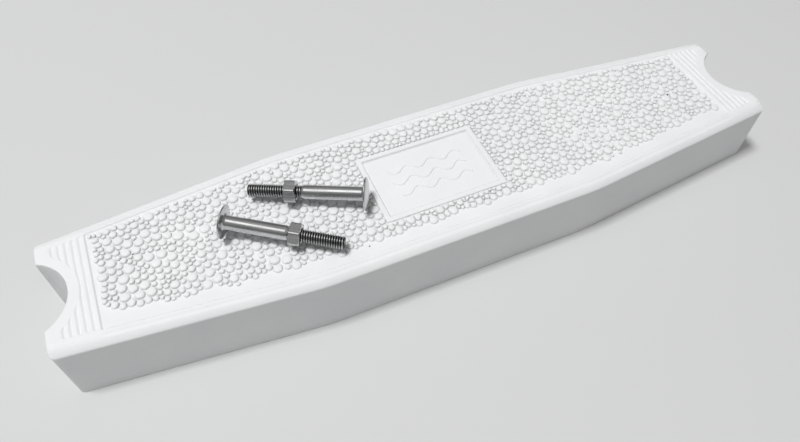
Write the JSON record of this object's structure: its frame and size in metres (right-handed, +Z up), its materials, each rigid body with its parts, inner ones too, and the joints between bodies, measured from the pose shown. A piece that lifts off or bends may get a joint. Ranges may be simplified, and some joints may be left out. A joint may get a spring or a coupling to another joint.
{
  "type": "pool ladder step",
  "caption": "White moulded swimming-pool ladder step with a pebbled grip top and a round seat for a rail tube at each end, with its loose fixing bolts and nuts.",
  "frame": {"origin": "middle of the step, level with the underside rim that it stands on", "axes": "+X along the step, +Y from the front edge to the back edge, +Z up out of the pebbled top"},
  "size_m": [0.462, 0.105, 0.0656],
  "materials": {
    "white_plastic": "fine-grained satin",
    "bright_steel": "bright, lightly drawn"
  },
  "bodies": {
    "step": {"tread": "white_plastic"},
    "back_bolt": {"back_bolt": "bright_steel"},
    "back_nut": {"back_nut": "bright_steel"},
    "front_bolt": {"front_bolt": "bright_steel"},
    "front_nut": {"front_nut": "bright_steel"}
  },
  "joints": [
    {"name": "back_bolt_lift", "type": "slide", "parent": "step", "child": "back_bolt", "axis": [0, 0, 1], "range_m": [0, 0.12]},
    {"name": "back_nut_spin", "type": "hinge", "parent": "back_bolt", "child": "back_nut", "pos_m": [-0.08724, 0.00984, 0.0535], "axis": [-0.8817, 0.4688, -0.0527], "continuous": true},
    {"name": "front_bolt_lift", "type": "slide", "parent": "step", "child": "front_bolt", "axis": [0, 0, 1], "range_m": [0, 0.12]},
    {"name": "front_nut_spin", "type": "hinge", "parent": "front_bolt", "child": "front_nut", "pos_m": [-0.09444, -0.02062, 0.05351], "axis": [0.8374, -0.5438, -0.0559], "continuous": true}
  ]
}
